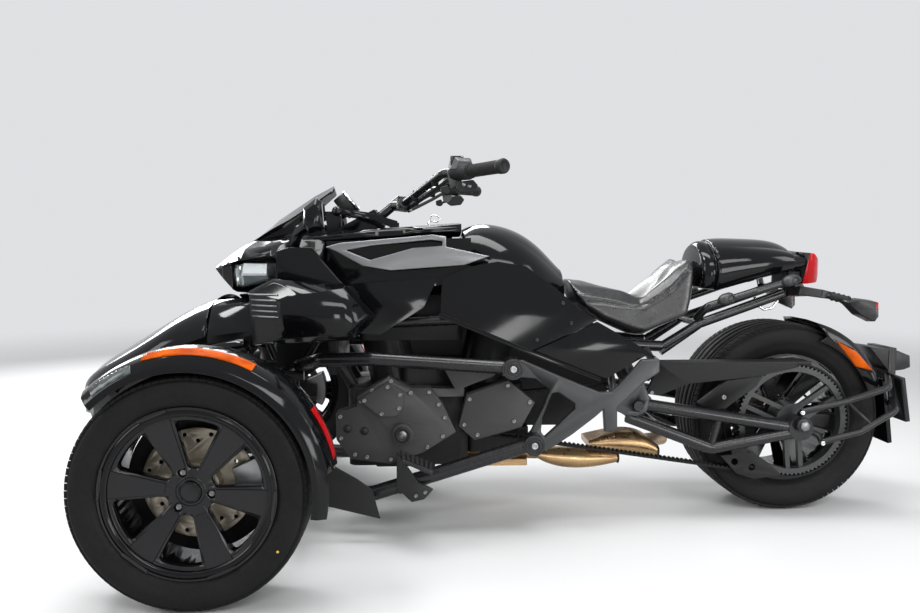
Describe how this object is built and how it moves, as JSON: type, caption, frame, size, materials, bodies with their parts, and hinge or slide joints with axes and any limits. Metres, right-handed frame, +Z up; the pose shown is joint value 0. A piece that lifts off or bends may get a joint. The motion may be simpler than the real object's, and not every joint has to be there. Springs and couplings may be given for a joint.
{
  "type": "motorized trike",
  "caption": "Open roadster trike with paired steered front wheels under arched fenders, a belt-driven rear wheel, a low saddle, a front storage hood and a wide handlebar.",
  "frame": {"origin": "on the floor, on the centre plane, midway between the nose's tip and the plate bracket's rear edge", "axes": "+X forward, +Y the rider's left, +Z up"},
  "size_m": [2.642, 1.496, 1.1],
  "materials": {
    "gloss_black": "high gloss",
    "satin_grey": "satin",
    "frame_black": "satin",
    "tyre": "matte",
    "wheel_black": "satin",
    "disc_steel": "brushed",
    "caliper_silver": "satin",
    "engine_dark": "satin",
    "trim_plastic": "matte",
    "hide": "semi-gloss",
    "exhaust_metal": "heat-tinted",
    "amber_lens": "gloss",
    "red_lens": "gloss",
    "clear_lens": "gloss",
    "smoke_screen": "gloss",
    "belt_rubber": "matte",
    "grip_rubber": "matte"
  },
  "bodies": {
    "chassis": {"front_subframe": "frame_black", "suspension_arms": "frame_black", "shocks": "frame_black", "main_frame": "satin_grey", "pivot_plates": "satin_grey", "tail_frame": "satin_grey", "swingarm": "satin_grey", "drive_belt": "belt_rubber", "belt_guard": "trim_plastic", "rear_caliper": "caliper_silver", "rear_fender": "trim_plastic", "plate_carrier": "frame_black", "engine": "engine_dark", "engine_covers": "satin_grey", "muffler": "exhaust_metal", "foot_pegs": "frame_black", "splash_guards": "trim_plastic", "storage_tub": "trim_plastic", "nose_fascia": "gloss_black", "nose_grille": "trim_plastic", "headlights": "clear_lens", "upper_cowl": "gloss_black", "windscreen": "smoke_screen", "side_vents": "gloss_black", "side_covers": "gloss_black", "tank_cover": "gloss_black", "tank_frames": "satin_grey", "console": "satin_grey", "gauge_cluster": "trim_plastic", "mirrors": "gloss_black", "tail_cowl": "gloss_black", "tail_light": "red_lens", "rear_signals": "satin_grey"},
    "knuckle_assembly_left": {"knuckle_left": "frame_black", "front_fender_left": "gloss_black", "fender_lamps_left": "amber_lens", "front_caliper_left": "caliper_silver"},
    "knuckle_assembly_right": {"knuckle_right": "frame_black", "front_fender_right": "gloss_black", "fender_lamps_right": "amber_lens", "front_caliper_right": "caliper_silver"},
    "front_wheel_left": {"front_tyre_left": "tyre", "front_rim_left": "wheel_black", "front_brake_disc_left": "disc_steel"},
    "front_wheel_right": {"front_tyre_right": "tyre", "front_rim_right": "wheel_black", "front_brake_disc_right": "disc_steel"},
    "rear_wheel": {"rear_tyre": "tyre", "rear_rim": "wheel_black", "rear_sprocket": "satin_grey", "rear_brake_disc": "disc_steel"},
    "steering_bar": {"handlebar": "frame_black", "grips": "grip_rubber", "switch_gear": "trim_plastic"},
    "linkage": {"tie_rods": "frame_black"},
    "hood": {"hood_lid": "gloss_black"},
    "saddle_unit": {"saddle": "hide"}
  },
  "joints": [
    {"name": "steer", "type": "hinge", "parent": "chassis", "child": "steering_bar", "pos_m": [0.377, 0, 0.97], "axis": [-0.7682, 0, 0.6402], "range_deg": [-32, 32]},
    {"name": "knuckle_pivot_left", "type": "hinge", "parent": "chassis", "child": "knuckle_assembly_left", "pos_m": [0.818, 0.545, 0.281], "axis": [0, 0, 1], "range_deg": [-24.5, 24.5]},
    {"name": "knuckle_pivot_right", "type": "hinge", "parent": "chassis", "child": "knuckle_assembly_right", "pos_m": [0.818, -0.545, 0.281], "axis": [0, 0, 1], "range_deg": [-24.5, 24.5]},
    {"name": "tie_rod_travel", "type": "slide", "parent": "chassis", "child": "linkage", "axis": [0, 1, 0], "range_m": [-0.046, 0.046]},
    {"name": "front_wheel_spin_left", "type": "hinge", "parent": "knuckle_assembly_left", "child": "front_wheel_left", "pos_m": [0.818, 0.654, 0.281], "axis": [0, 1, 0], "continuous": true},
    {"name": "front_wheel_spin_right", "type": "hinge", "parent": "knuckle_assembly_right", "child": "front_wheel_right", "pos_m": [0.818, -0.654, 0.281], "axis": [0, 1, 0], "continuous": true},
    {"name": "rear_wheel_spin", "type": "hinge", "parent": "chassis", "child": "rear_wheel", "pos_m": [-0.891, 0, 0.303], "axis": [0, 1, 0], "continuous": true},
    {"name": "hood_lid_hinge", "type": "hinge", "parent": "chassis", "child": "hood", "pos_m": [1.306, 0, 0.408], "axis": [0, 1, 0], "range_deg": [0, 55]},
    {"name": "saddle_hinge", "type": "hinge", "parent": "chassis", "child": "saddle_unit", "pos_m": [-0.176, 0, 0.764], "axis": [0, 1, 0], "range_deg": [0, 50]}
  ],
  "couplings": [
    {"joint": "knuckle_pivot_left", "follows": "steer", "ratio": 0.75},
    {"joint": "knuckle_pivot_right", "follows": "steer", "ratio": 0.75},
    {"joint": "tie_rod_travel", "follows": "steer", "m_per_rad": -0.08}
  ]
}
